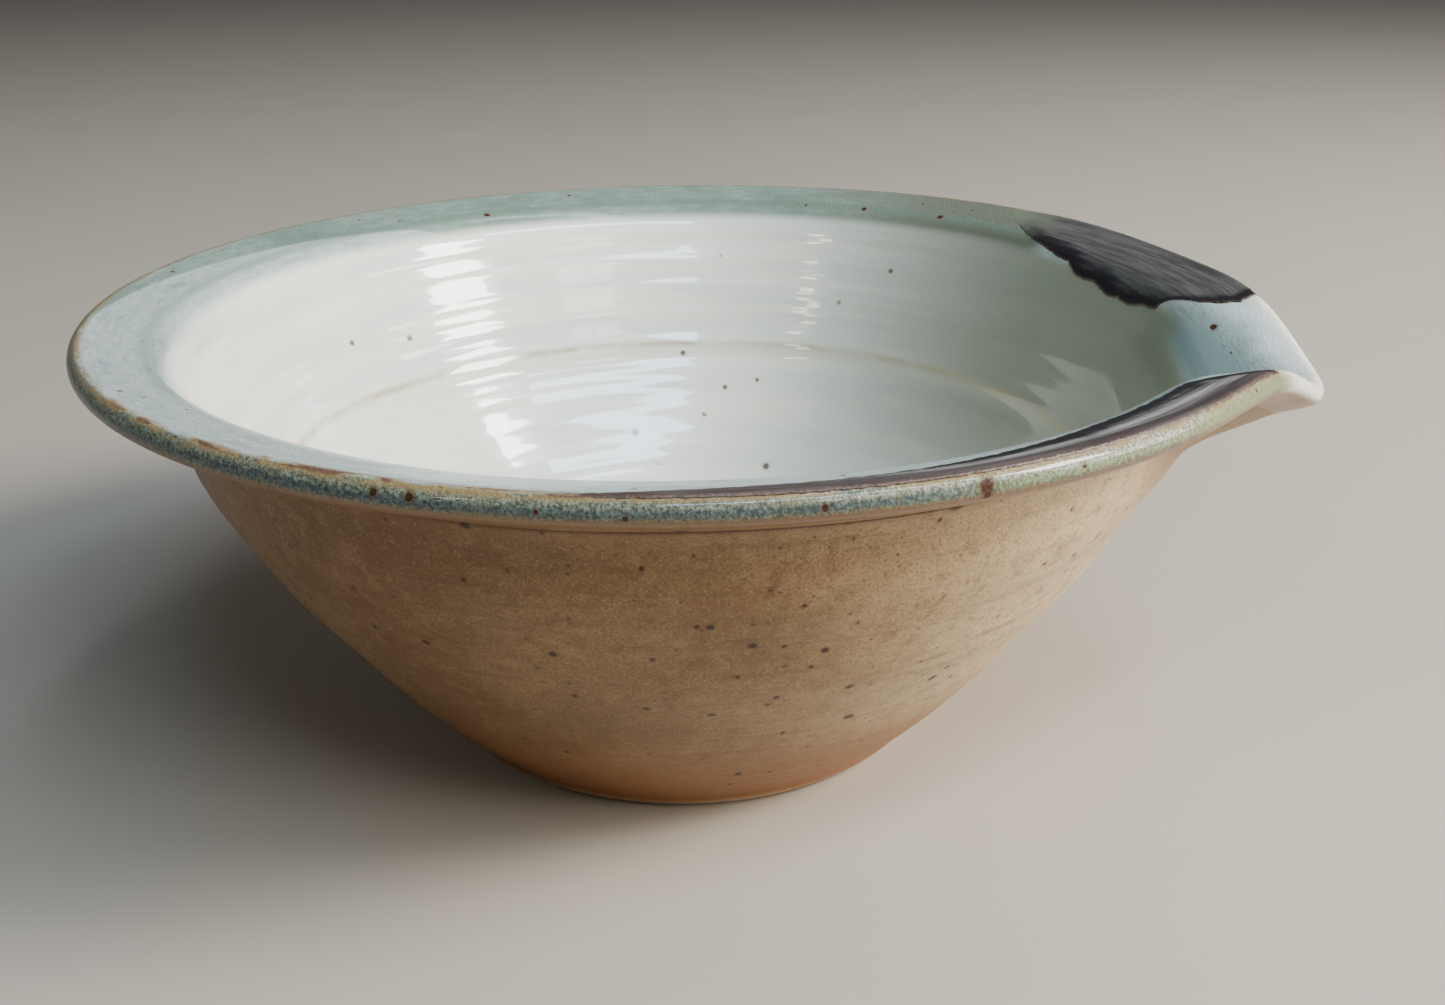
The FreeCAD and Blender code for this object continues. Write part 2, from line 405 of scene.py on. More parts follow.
def clay_body():
    """The thrown clay, from the floor over the rim down to the foot and under the base."""
    hidden = clay_under(AXIS, ALONG[GLAZE_END])
    profile = foot_profile()
    r = profile[:, 0] + 0.06 * np.sin(3 * TURN + 0.4) + 0.04 * np.sin(7 * TURN + 2.0)
    z = np.broadcast_to(profile[:, 1], r.shape)
    under = np.stack([r * np.cos(TURN), r * np.sin(TURN), z], axis=-1)
    rows = np.concatenate([glazed_rows(hidden, GLAZE), under], axis=1)
    below = ALONG[-1] + np.cumsum(np.hypot(*np.diff(profile, axis=0, prepend=profile[:1]).T))
    return turned_mesh("clay_body", rows, np.concatenate([hidden, below]), capped=True)


# ---------------------------------------------------------------- iron patches

# Where each patch starts and ends round the rim (degrees), how far it reaches out past the
# crest, the count and depth (mm) of the lobes along its inner edge, its width in from the crest
# at shares of its length, and how far its head edge stands back at distances in from the crest.
# Then its mesh steps along and across, the colours where it is worn thin (on the right patch
# lightened as a painted sheen), the strength of the purple line on the crest, and the length
# over which its tail fades into the glaze
IRON_RIGHT = {
    "tail": -84.0, "head": -15.5, "over": 0.75, "lobes": (16.0, 44.0), "depth": 0.45,
    "steps": (520, 44), "stripe": 0.85, "fading": 9.0,
    "worn_and_sheen_dark": (0.13, 0.12, 0.108), "worn_and_sheen_pale": (0.33, 0.31, 0.28),
    "widths": [(0.0, 0.7), (0.12, 2.4), (0.22, 4.4), (0.38, 6.2), (0.55, 8.6), (0.75, 11.6), (1.0, 12.6)],
    "back": [(0.0, 0.0), (2.0, 0.3), (5.0, 1.5), (9.0, 3.2), (13.0, 6.5)],
}
IRON_LEFT = {
    "tail": 58.0, "head": 13.6, "over": 0.3, "lobes": (4.0, 9.0), "depth": 0.9,
    "steps": (400, 80), "stripe": 0.0, "fading": 26.0,
    "worn_and_sheen_dark": (0.045, 0.041, 0.037), "worn_and_sheen_pale": (0.092, 0.086, 0.078),
    "widths": [(0.0, 3.0), (0.08, 9.5), (0.17, 13.6), (0.30, 17.0), (0.42, 18.4), (0.47, 20.4),
               (0.60, 21.6), (0.74, 22.6), (0.86, 22.4), (0.96, 20.5), (1.0, 19.5)],
    "back": [(0.0, 0.4), (5.0, -0.5), (9.0, 0.0), (12.0, 0.9), (15.0, 3.2), (17.5, 5.0), (20.0, 5.2)],
}


def lobes(share, low, high):
    """Random rounded lobes along a brushed edge, about -1 to 1, at shares 0 to 1 of its length."""
    total = np.zeros_like(share)
    for _ in range(4):
        turns = RNG.uniform(low, high)
        size = RNG.uniform(0.5, 1.0)
        phase = RNG.uniform(0, ONE_TURN)
        total += size * (np.sqrt(np.abs(np.sin(math.pi * turns * share + phase)) + 0.05) - 0.7)
    return total


def rounded(values, reach):
    """Values smoothed over a number of neighbours."""
    window = np.hanning(2 * reach + 3)
    padded = np.pad(values, reach + 1, mode="reflect", reflect_type="odd")
    return np.convolve(padded, window / window.sum(), mode="valid")


def iron_grid(spec):
    """Angles, distances along the section, insets from the edge and runs from the tail."""
    long_steps, cross_steps = spec["steps"]
    share = np.linspace(0.0, 1.0, long_steps)
    cross = np.linspace(0.0, 1.0, cross_steps)
    width = rounded(np.interp(share, *zip(*spec["widths"])), long_steps // 24)
    narrow = np.minimum(1.0, 0.2 * width)
    width = width + spec["depth"] * rounded(lobes(share, *spec["lobes"]), 1) * narrow
    outer = ALONG[CREST] + spec["over"] + 0.15 * lobes(share, 14.0, 60.0)
    across = width[:, None] * cross
    back = rounded(np.interp(cross * width[-1], *zip(*spec["back"])), cross_steps // 16)
    back = back + 0.3 * rounded(lobes(cross, 2.0, 6.0), 1) * np.sin(math.pi * cross)
    head = spec["head"] + math.copysign(1.0, spec["tail"]) * back
    angles = spec["tail"] + (head - spec["tail"]) * share[:, None]
    length = abs(spec["head"] - spec["tail"]) * math.radians(RIM_RADIUS)
    run = np.broadcast_to(share[:, None] * length, across.shape)
    to_side = np.minimum(cross, 1 - cross) * width[:, None]
    inset = np.minimum(to_side, np.minimum(run, length - run))
    return angles, outer[:, None] - across, inset, run


def iron_coat(name, spec):
    """Raised patch of iron: a thick rounded bead round its edge, thin in the middle and tail."""
    long_steps, cross_steps = spec["steps"]
    angles, along, inset, run = iron_grid(spec)
    edge = np.clip(inset / IRON_EDGE, 0.0, 1.0)
    bead = (IRON - IRON_MIDDLE) * np.exp(-((inset - 1.1) / 1.6) ** 2) * fade(run, 2.0, 22.0)
    thick = IRON_MIDDLE + bead
    thick = thick * (0.12 + 0.88 * fade(run, 0.0, 18.0))
    lift = (thick * np.sqrt(1.0 - (1.0 - edge) ** 2)).ravel()
    base = surface_at(angles.ravel(), along.ravel())
    up = normals_at(angles.ravel(), along.ravel())
    marks = relief(np.radians(angles.ravel()), along.ravel())
    top = base + up * (marks + lift)[:, None]
    bottom = base + up * (marks - IRON_FOOTING)[:, None]
    half = len(top)
    faces = []
    for i in range(long_steps - 1):
        for a in range(i * cross_steps, (i + 1) * cross_steps - 1):
            d = a + cross_steps
            faces.append((a, d, d + 1, a + 1))
            faces.append((half + a, half + a + 1, half + d + 1, half + d))
    border = list(range(cross_steps))
    border += [i * cross_steps + cross_steps - 1 for i in range(1, long_steps)]
    border += [(long_steps - 1) * cross_steps + j for j in range(cross_steps - 2, -1, -1)]
    border += [i * cross_steps for i in range(long_steps - 2, 0, -1)]
    faces += [(a, b, half + b, half + a) for a, b in zip(border, border[1:] + border[:1])]
    if spec["tail"] < 0:
        faces = [face[::-1] for face in faces]
    values = {"inset": inset, "along": along, "run": run, "ahead": run.max() - run}
    return make_mesh(name, np.concatenate([top, bottom]), faces,
                     {key: np.tile(grid.ravel(), 2) for key, grid in values.items()})


# ---------------------------------------------------------------- building materials


class Nodes:
    """Short forms for building a node material on a Principled shader."""

    def __init__(self, name):
        self.material = bpy.data.materials.new(name)
        self.material.use_nodes = True
        self.tree = self.material.node_tree
        self.tree.nodes.clear()
        self.shader = self.add("ShaderNodeBsdfPrincipled")
        self.link(self.shader.outputs[0], self.add("ShaderNodeOutputMaterial").inputs[0])
        place = self.add("ShaderNodeTexCoord").outputs["Object"]
        self.place = self.vector("SCALE", place, scale=1000.0)
        apart = self.add("ShaderNodeSeparateXYZ")
        self.link(self.place, apart.inputs[0])
        self.x, self.y, self.z = apart.outputs
        self.angle = self.math("MULTIPLY", self.math("ARCTAN2", self.y, self.x), math.degrees(1.0))

    def add(self, kind):
        return self.tree.nodes.new(kind)

    def link(self, source, target):
        self.tree.links.new(source, target)

    def feed(self, value, socket):
        if isinstance(value, bpy.types.NodeSocket):
            self.link(value, socket)
        else:
            socket.default_value = value

    def math(self, operation, a, b=0.0, c=0.0):
        node = self.add("ShaderNodeMath")
        node.operation = operation
        for value, socket in zip((a, b, c), node.inputs):
            self.feed(value, socket)
        return node.outputs[0]

    def product(self, *values):
        total = values[0]
        for value in values[1:]:
            total = self.math("MULTIPLY", total, value)
        return total

    def vector(self, operation, a, b=(0.0, 0.0, 0.0), scale=1.0):
        node = self.add("ShaderNodeVectorMath")
        node.operation = operation
        self.feed(a, node.inputs[0])
        if operation == "SCALE":
            node.inputs["Scale"].default_value = scale
        else:
            self.feed(b, node.inputs[1])
        return node.outputs["Value" if operation == "LENGTH" else "Vector"]

    def attribute(self, name):
        node = self.add("ShaderNodeAttribute")
        node.attribute_name = name
        return node.outputs["Fac"]

    def combine(self, x, y, z):
        node = self.add("ShaderNodeCombineXYZ")
        for value, socket in zip((x, y, z), node.inputs):
            self.feed(value, socket)
        return node.outputs[0]

    def noise(self, scale, detail=3.0, rough=0.5, at=None):
        """Noise from 0 to 1 with a scale in waves per millimetre."""
        node = self.add("ShaderNodeTexNoise")
        self.feed(self.place if at is None else at, node.inputs["Vector"])
        node.inputs["Scale"].default_value = scale
        node.inputs["Detail"].default_value = detail
        node.inputs["Roughness"].default_value = rough
        return node.outputs["Fac"]

    def streaks(self, along, turns, rows, detail=4.0, rough=0.6):
        """Noise drawn out round the axis with no seam: waves per radian and per millimetre."""
        flat = self.vector("NORMALIZE", self.combine(self.x, self.y, 0.0))
        flat = self.vector("SCALE", flat, scale=turns)
        rise = self.combine(0.0, 0.0, self.math("MULTIPLY", along, rows))
        return self.noise(1.0, detail, rough, at=self.vector("ADD", flat, rise))

    def step(self, value, low, high):
        """Smooth step from 0 at low to 1 at high; low may be the larger."""
        node = self.add("ShaderNodeMapRange")
        node.interpolation_type = "SMOOTHSTEP"
        self.feed(value, node.inputs["Value"])
        falls = low > high
        node.inputs["From Min"].default_value = min(low, high)
        node.inputs["From Max"].default_value = max(low, high)
        node.inputs["To Min"].default_value = 1.0 if falls else 0.0
        node.inputs["To Max"].default_value = 0.0 if falls else 1.0
        return node.outputs["Result"]

    def band(self, value, low, high, soft):
        """1 between low and high, with soft flanks."""
        rises = self.step(value, low - soft, low + soft)
        falls = self.step(value, high + soft, high - soft)
        return self.product(rises, falls)

    def near(self, degrees, inner, outer):
        """1 within the inner angle of a direction round the axis, falling to 0 at the outer angle."""
        away = self.math("ABSOLUTE", self.math("SUBTRACT", self.angle, degrees))
        return self.step(away, outer, inner)

    def mix(self, share, a, b, strength=1.0):
        """Colour a turning into b by a share from 0 to 1, times a strength."""
        if strength != 1.0:
            share = self.math("MULTIPLY", share, strength)
        node = self.add("ShaderNodeMix")
        node.data_type = "RGBA"
        self.feed(share, node.inputs["Factor"])
        for value, socket in ((a, node.inputs[6]), (b, node.inputs[7])):
            self.feed(value if isinstance(value, bpy.types.NodeSocket) else (*value, 1.0), socket)
        return node.outputs[2]

    def specks(self, cell, size, share):
        """Masks of the cores and halos of round specks in a share of cells; lengths in millimetres."""
        node = self.add("ShaderNodeTexVoronoi")
        self.feed(self.place, node.inputs["Vector"])
        node.inputs["Scale"].default_value = 1.0 / cell
        wobble = self.math("SUBTRACT", self.noise(1.3, 2.0, 0.6), 0.5)
        wobble = self.math("MULTIPLY", wobble, size * 1.1)
        distance = self.math("MULTIPLY_ADD", node.outputs["Distance"], cell, wobble)
        apart = self.add("ShaderNodeSeparateColor")
        self.link(node.outputs["Color"], apart.inputs[0])
        used = self.math("LESS_THAN", apart.outputs[0], share)
        radius = self.math("MULTIPLY_ADD", apart.outputs[1], size * 0.75, size * 0.35)
        over = self.math("SUBTRACT", distance, radius)
        core = self.product(self.step(over, size * 0.25, -size * 0.15), used)
        halo = self.product(self.step(over, size * 1.4, 0.0), used)
        return core, halo

    def spots(self, colour, places, dark, halo):
        """Larger spots given one by one over a colour: (angle, distance from the axis, height, size)."""
        edge = self.noise(0.9, 3.0, 0.65)
        for angle, radius, height, size in places:
            turn = math.radians(angle)
            centre = (radius * math.cos(turn), radius * math.sin(turn), height)
            offset = self.vector("LENGTH", self.vector("SUBTRACT", self.place, centre))
            distance = self.math("MULTIPLY_ADD", edge, size * 1.2, offset)
            colour = self.mix(self.step(distance, size * 2.6, size * 1.4), colour, halo, 0.55)
            colour = self.mix(self.step(distance, size * 1.75, size * 1.35), colour, dark)
        return colour

    def surface(self, colour, rough, rough_low, rough_high, height, strength, distance):
        """Colour, roughness spread over a noise, and bump."""
        self.link(colour, self.shader.inputs["Base Color"])
        self.link(self.math("MULTIPLY_ADD", rough, rough_high - rough_low, rough_low),
                  self.shader.inputs["Roughness"])
        bump = self.add("ShaderNodeBump")
        self.link(height, bump.inputs["Height"])
        bump.inputs["Strength"].default_value = strength
        bump.inputs["Distance"].default_value = distance
        self.link(bump.outputs[0], self.shader.inputs["Normal"])
        return self.material

    def gloss(self, weight, roughness):
        """Clear glassy skin of the glaze."""
        self.shader.inputs["Coat Weight"].default_value = weight
        self.shader.inputs["Coat Roughness"].default_value = roughness


# ---------------------------------------------------------------- glazes and clay

# Angle of the middle of the second dip of glaze, and how far it reaches to each side
SECOND_DIP_MIDDLE = 128.0
SECOND_DIP_REACH = 81.0

CREST_AT = float(ALONG[CREST])
RING_AT = float(ALONG[RING])
GROOVE_AT = float(ALONG[GROOVE])

# Inside
MILK = (0.71, 0.69, 0.59)
MILK_GREEN = (0.56, 0.60, 0.53)
LINER_GREEN_SHADE = (0.125, 0.137, 0.083)
RING_OCHRE = (0.30, 0.25, 0.115)
RING_SHADE = (0.50, 0.49, 0.38)
LINER_HALO = (0.36, 0.33, 0.24)
LINER_SPECK = (0.12, 0.10, 0.07)
LINER_SPOT = (0.14, 0.115, 0.085)
LINER_SPOT_HALO = (0.38, 0.36, 0.29)

# Flange
CELADON = (0.31, 0.37, 0.34)
CELADON_PALE = (0.41, 0.455, 0.415)
CELADON_DEEP = (0.18, 0.235, 0.22)
SAGE = (0.165, 0.220, 0.175)
SAGE_PALE = (0.230, 0.290, 0.240)
SAGE_DEEP = (0.110, 0.160, 0.120)
OLIVE = (0.105, 0.108, 0.070)

# Rolled edge: a dark and a pale grain for its face, for its lit stretch (painted light) and for its
# underside (painted shade and painted reflection)
FACE = ((0.058, 0.067, 0.046), (0.215, 0.22, 0.155))
FACE_LIT = ((0.145, 0.14, 0.080), (0.42, 0.40, 0.30))
BELOW_SHADE = ((0.038, 0.052, 0.050), (0.10, 0.125, 0.11))
BELOW_LIT = ((0.13, 0.15, 0.07), (0.26, 0.28, 0.17))
FACE_OCHRE = (0.20, 0.155, 0.065)
UNDER_ROLL = (0.22, 0.13, 0.068)
OCHRE = (0.25, 0.165, 0.062)
RUST = (0.10, 0.050, 0.036)
RIM_HALO = (0.24, 0.18, 0.08)

# Spout
POOL_DEEP = (0.18, 0.235, 0.215)
POOL_PALE = (0.56, 0.61, 0.57)
THROAT_SHADE = (0.14, 0.15, 0.09)
LIP_PALE = (0.82, 0.79, 0.67)
LIP_CREAM = (0.70, 0.67, 0.53)
GATHERED = (0.19, 0.19, 0.085)
UNDER_LIP = (0.34, 0.21, 0.105)

# Outside
# The tans are darker and warmer than the pale glaze, partly as painted shade and warm bounce light
TAN = (0.175, 0.092, 0.034)
TAN_PALE = (0.245, 0.142, 0.062)
TAN_WARM = (0.125, 0.058, 0.020)
TAN_CREAM = (0.66, 0.505, 0.29)
TAN_UNDER_SPOUT = (0.27, 0.150, 0.062)
FOOT_ORANGE_AND_BOUNCE = (0.25, 0.092, 0.020)
FOOT_BEAD = (0.50, 0.40, 0.26)
GROOVE_IRON = (0.035, 0.018, 0.012)
GROOVE_STAIN = (0.12, 0.055, 0.028)
SCRATCH = (0.10, 0.048, 0.025)
SMALL_SPECK = (0.055, 0.024, 0.009)
IRON_DARK = (0.042, 0.016, 0.006)
HALO = (0.115, 0.062, 0.025)

# Bare clay
CLAY = (0.46, 0.31, 0.19)
CLAY_PALE = (0.55, 0.41, 0.27)
CLAY_GRAIN = (0.32, 0.20, 0.12)
CLAY_TURNED = (0.36, 0.24, 0.15)

# Iron patches
BLACK = (0.006, 0.006, 0.008)
BLACK_PALE = (0.018, 0.014, 0.015)
PURPLE = (0.013, 0.007, 0.007)
PURPLE_PALE = (0.052, 0.026, 0.023)
RUST_GRAIN = (0.17, 0.095, 0.045)

# Spots that stand out, as angle, distance from the axis, height and size
RIM_SPOTS = [
    (-53.3, 129.9, 99.8, 1.35), (-53.2, 129.7, 98.2, 0.7), (-92.9, 129.5, 100.2, 0.75),
    (-95.6, 129.5, 100.3, 0.65), (-65.0, 130.0, 99.5, 0.6), (-78.1, 129.9, 98.9, 0.45),
    (-45.0, 129.8, 100.0, 0.45), (-84.0, 129.9, 99.6, 0.4), (134.9, 114.4, 98.9, 0.9),
    (10.8, 119.6, 93.4, 0.8), (78.0, 114.8, 98.9, 0.7), (66.0, 115.0, 98.9, 0.8),
]
LINER_SPOTS = [
    (154.7, 98.5, 72.5, 0.9), (165.8, 100.2, 75.5, 0.7), (116.2, 78.2, 40.0, 0.9),
    (86.9, 72.1, 32.1, 1.0), (105.7, 92.0, 59.1, 0.7), (97.6, 86.1, 50.6, 0.7),
    (91.5, 87.6, 52.7, 0.6), (71.0, 104.6, 84.2, 0.7),
]
OUTER_SPOTS = [
    (-72.1, 106.6, 69.2, 0.75), (-73.3, 106.7, 69.4, 0.5), (-68.0, 103.6, 63.6, 0.8),
    (-60.4, 101.7, 60.3, 0.7), (-55.7, 94.1, 47.5, 0.8), (-87.6, 102.1, 60.7, 0.7),
    (-102.4, 100.5, 58.3, 0.7), (-71.5, 90.8, 43.0, 0.7), (-52.8, 85.1, 35.3, 0.9),
    (-64.4, 94.1, 47.7, 0.6), (-66.2, 71.0, 17.2, 0.8), (-42.3, 90.0, 42.0, 0.9),
    (-78.0, 110.6, 82.0, 0.5), (-92.7, 113.4, 89.0, 0.9), (-60.8, 114.3, 89.9, 0.7),
    (-64.8, 103.2, 62.5, 0.5), (-50.9, 114.2, 89.6, 1.4), (-74.6, 115.4, 90.5, 1.2),
    (-86.0, 113.6, 88.7, 0.5), (-69.0, 113.0, 86.5, 0.6), (150.0, 104.0, 65.0, 0.9),
    (96.0, 98.0, 53.0, 0.7), (40.0, 107.0, 71.0, 0.8), (-150.0, 90.0, 41.5, 0.8),
]


def rim_colour(n, along):
    """Celadon of the flange and the rolled edge; along is measured from the crest of the roll."""
    brushed = n.streaks(along, 26.0, 0.8, 4.0, 0.65)
    cloud = n.noise(0.04, 3.0, 0.55)
    pale = n.mix(n.step(brushed, 0.35, 0.70), CELADON, CELADON_PALE)
    pale = n.mix(n.step(n.streaks(along, 9.0, 0.35), 0.50, 0.75), pale, CELADON_DEEP, 0.7)
    sage = n.mix(n.step(brushed, 0.35, 0.70), SAGE, SAGE_PALE)
    sage = n.mix(n.step(cloud, 0.48, 0.66), sage, SAGE_DEEP, 0.55)
    sage = n.mix(n.near(54.0, 10.0, 42.0), sage, OLIVE, 0.85)
    # The second dip of glaze covers the far side, to a line that slants over the flange
    turned = n.math("WRAP", n.math("SUBTRACT", n.angle, SECOND_DIP_MIDDLE), 180.0, -180.0)
    slant = n.product(n.math("MINIMUM", along, 2.0), n.step(turned, 0.0, 20.0))
    reach = n.math("MULTIPLY_ADD", slant, 4.0, SECOND_DIP_REACH)
    reach = n.math("MULTIPLY_ADD", brushed, 3.0, n.math("SUBTRACT", reach, n.math("ABSOLUTE", turned)))
    second = n.step(reach, 0.0, 4.0)
    colour = n.mix(second, pale, sage)
    # Darker in the corner where the flange meets the inside: painted shade in the crease
    corner_shade = n.band(along, -14.6, -11.6, 1.5)
    colour = n.mix(corner_shade, colour, n.mix(second, CELADON_DEEP, SAGE_DEEP), 0.6)
    # The face of the roll is a fine mottle of cream and grey-green, with a dark blue-green band below it
    # that is painted shade and painted reflection
    mottle = n.step(n.noise(1.5, 4.0, 0.8), 0.42, 0.60)
    face = n.mix(mottle, *FACE)
    face = n.mix(n.step(n.streaks(along, 12.0, 0.25), 0.50, 0.66), face, FACE_OCHRE, 0.5)
    # Painted light: paler copies of the mottle where the roll faces the key lamp
    lit = n.product(n.near(-36.0, 14.0, 34.0), n.step(along, 3.0, 1.8))
    face = n.mix(lit, face, n.mix(mottle, *FACE_LIT), 0.85)
    colour = n.mix(n.step(along, -0.4, 0.7), colour, face)
    # Painted shade and reflection on the lower face of the roll, with a paler copy as painted light near
    # the key lamp
    low = n.mix(mottle, *BELOW_SHADE)
    low = n.mix(n.near(-34.0, 14.0, 26.0), low, n.mix(mottle, *BELOW_LIT))
    colour = n.mix(n.band(along, 2.7, 4.1, 0.5), colour, low, 0.9)
    colour = n.mix(n.step(along, 4.0, 5.2), colour, UNDER_ROLL)
    # It breaks ochre and rust along the crest
    patchy = n.streaks(along, 15.0, 0.40, 4.0, 0.65)
    breaks = n.product(n.band(along, -0.9, 1.4, 0.7), n.step(patchy, 0.38, 0.54))
    colour = n.mix(breaks, colour, OCHRE, 0.85)
    dashes = n.product(
        n.band(along, -0.5, 0.8, 0.45), n.step(patchy, 0.53, 0.58), n.near(-92.0, 22.0, 50.0))
    return n.mix(dashes, colour, RUST, 0.9)


def spout_colour(n, along, colour):
    """Pale blue-white inside the spout, where the glaze ran thick, a cream lip, and painted shade on the
    inner wall at the throat.
    """
    inside = n.near(0.0, 10.0, 17.0)
    cloud = n.math("MULTIPLY_ADD", n.math("SUBTRACT", n.noise(0.10), 0.5), 8.0, along)
    pool = n.mix(n.step(cloud, -15.0, -3.0), POOL_DEEP, POOL_PALE)
    # Painted shade: the inner wall beside the spout, turned away from the key lamp, darkened to olive
    throat_shade = n.product(
        n.near(0.0, 12.0, 24.0), n.step(along, -42.0, -24.0), n.step(along, -12.0, -20.0))
    colour = n.mix(throat_shade, colour, THROAT_SHADE, 0.75)
    pooled = n.product(inside, n.step(along, -27.0, -19.0), n.step(along, 0.8, -1.5))
    colour = n.mix(pooled, colour, pool)
    lip = n.product(n.near(0.0, 12.0, 17.0), n.band(along, -1.6, 5.5, 1.3))
    colour = n.mix(lip, colour, n.mix(n.noise(0.6, 3.0, 0.6), LIP_PALE, LIP_CREAM), 0.95)
    # Olive where the glaze gathers on the roll behind the humps
    gathered = n.product(n.near(-22.0, 5.0, 12.0), n.band(along, 1.3, 4.8, 0.8))
    colour = n.mix(gathered, colour, GATHERED, 0.75)
    under = n.product(n.near(0.0, 16.0, 24.0), n.step(along, 5.0, 7.5))
    return n.mix(under, colour, UNDER_LIP, 0.8)


def liner_material():
    n = Nodes("liner_glaze_material")
    along = n.attribute("along")
    from_crest = n.math("SUBTRACT", along, CREST_AT)
    slow = n.streaks(along, 1.3, 0.12, 3.0, 0.5)
    fine = n.streaks(along, 3.0, 1.0, 3.0, 0.6)
    colour = n.mix(n.step(slow, 0.40, 0.62), MILK, MILK_GREEN, 0.55)
    colour = n.mix(n.step(fine, 0.54, 0.72), colour, MILK_GREEN, 0.35)
    # Greener and thicker on the wall towards the spout, and darkened there as painted shade of the wall
    # turned away from the key lamp
    thicker_and_shaded = n.product(n.near(20.0, 20.0, 85.0), n.step(along, 30.0, 90.0))
    colour = n.mix(thicker_and_shaded, colour, LINER_GREEN_SHADE, 0.80)
    # The ochre line where the glaze breaks over the throwing ring
    wander = n.math("MULTIPLY_ADD", n.noise(0.03, 2.0), 2.0, n.math("SUBTRACT", along, RING_AT + 1.0))
    line = n.product(n.band(wander, -0.8, 0.8, 1.1), n.step(n.streaks(along, 5.0, 0.1), 0.30, 0.62))
    colour = n.mix(line, colour, RING_OCHRE, 0.8)
    colour = n.mix(n.band(wander, -3.6, 0.0, 2.4), colour, RING_SHADE, 0.25)
    colour = n.mix(n.step(from_crest, -20.5, -16.5), colour, rim_colour(n, from_crest))
    colour = spout_colour(n, from_crest, colour)
    core, halo = n.specks(9.0, 0.6, 0.22)
    colour = n.mix(halo, colour, LINER_HALO, 0.35)
    colour = n.mix(core, colour, LINER_SPECK, 0.75)
    colour = n.spots(colour, LINER_SPOTS, LINER_SPOT, LINER_SPOT_HALO)
    n.gloss(weight=0.65, roughness=0.04)
    n.shader.inputs["Coat IOR"].default_value = 1.47
    n.shader.inputs["Specular IOR Level"].default_value = 0.2
    height = n.math("MULTIPLY_ADD", fine, 0.5, n.noise(0.12, 2.0))
    return n.surface(colour, n.noise(0.25), 0.10, 0.22, height, strength=0.2, distance=0.0006)


def rim_material():
    n = Nodes("rim_glaze_material")
    along = n.math("SUBTRACT", n.attribute("along"), CREST_AT)
    colour = spout_colour(n, along, rim_colour(n, along))
    core, halo = n.specks(5.0, 0.5, 0.30)
    colour = n.mix(halo, colour, RIM_HALO, 0.35)
    colour = n.mix(core, colour, IRON_DARK, 0.9)
    colour = n.spots(colour, RIM_SPOTS, IRON_DARK, HALO)
    n.gloss(weight=0.38, roughness=0.06)
    n.shader.inputs["Specular IOR Level"].default_value = 0.12
    height = n.noise(1.1, 4.0, 0.65)
    return n.surface(colour, n.noise(0.8), 0.22, 0.40, height, strength=0.55, distance=0.0005)


def outer_material():
    n = Nodes("outer_glaze_material")
    along = n.attribute("along")
    rings = n.streaks(along, 2.4, 0.55, 4.0, 0.65)
    cloud = n.noise(0.022, 3.0, 0.5)
    powder = n.noise(1.8, 3.0, 0.75)
    blotch = n.noise(0.24, 4.0, 0.65)
    colour = n.mix(n.step(cloud, 0.38, 0.62), TAN, TAN_PALE)
    # Whiter below the spout, where the coat ran thick; this cream on the side facing the key lamp is also
    # painted light
    milky_and_lit = n.product(n.near(-8.0, 8.0, 70.0), n.step(n.z, 6.0, 40.0))
    colour = n.mix(milky_and_lit, colour, TAN_CREAM, 0.85)
    colour = n.mix(n.step(rings, 0.50, 0.72), colour, TAN_WARM, 0.35)
    colour = n.mix(n.step(blotch, 0.50, 0.68), colour, TAN_WARM, 0.40)
    colour = n.mix(n.step(blotch, 0.48, 0.34), colour, TAN_CREAM, 0.10)
    colour = n.mix(n.step(powder, 0.48, 0.66), colour, TAN_WARM, 0.60)
    colour = n.mix(n.step(powder, 0.46, 0.30), colour, TAN_CREAM, 0.24)
    # Orange towards the foot, partly the glaze's own colour and partly painted warm bounce light from
    # below
    colour = n.mix(n.step(n.z, 38.0, 5.0), colour, FOOT_ORANGE_AND_BOUNCE, 0.85)
    # A pale thick bead above the foot, its pale colour partly a painted highlight along the bead
    colour = n.mix(n.step(n.z, 3.6, 2.2), colour, FOOT_BEAD, 0.55)
    lip = n.product(n.near(0.0, 12.0, 30.0), n.step(n.z, 60.0, 78.0))
    colour = n.mix(lip, colour, TAN_UNDER_SPOUT, 0.8)
    # Iron lies in the cut line and in a fainter scratch below it
    from_groove = n.math("SUBTRACT", along, GROOVE_AT)
    away = n.step(n.math("ABSOLUTE", n.angle), *GROOVE_ENDS)
    colour = n.mix(n.product(n.band(from_groove, -0.50, 0.50, 0.35), away), colour, GROOVE_IRON)
    colour = n.mix(n.product(n.band(from_groove, 0.4, 1.6, 0.9), away), colour, GROOVE_STAIN, 0.40)
    scratch = n.product(
        n.band(from_groove, 7.2, 7.5, 0.25), n.step(n.streaks(along, 4.0, 0.1), 0.42, 0.60))
    colour = n.mix(scratch, colour, SCRATCH, 0.5)
    core, halo = n.specks(4.3, 0.58, 0.28)
    small, small_halo = n.specks(2.6, 0.30, 0.30)
    colour = n.mix(small_halo, colour, HALO, 0.25)
    colour = n.mix(small, colour, SMALL_SPECK, 0.75)
    colour = n.mix(halo, colour, HALO, 0.40)
    colour = n.mix(core, colour, IRON_DARK, 0.92)
    colour = n.spots(colour, OUTER_SPOTS, IRON_DARK, HALO)
    n.gloss(weight=0.15, roughness=0.25)
    n.shader.inputs["Specular IOR Level"].default_value = 0.3
    height = n.math("MULTIPLY_ADD", powder, 0.35, n.math("MULTIPLY", rings, 0.7))
    return n.surface(colour, n.noise(0.6), 0.36, 0.56, height, strength=0.35, distance=0.0005)


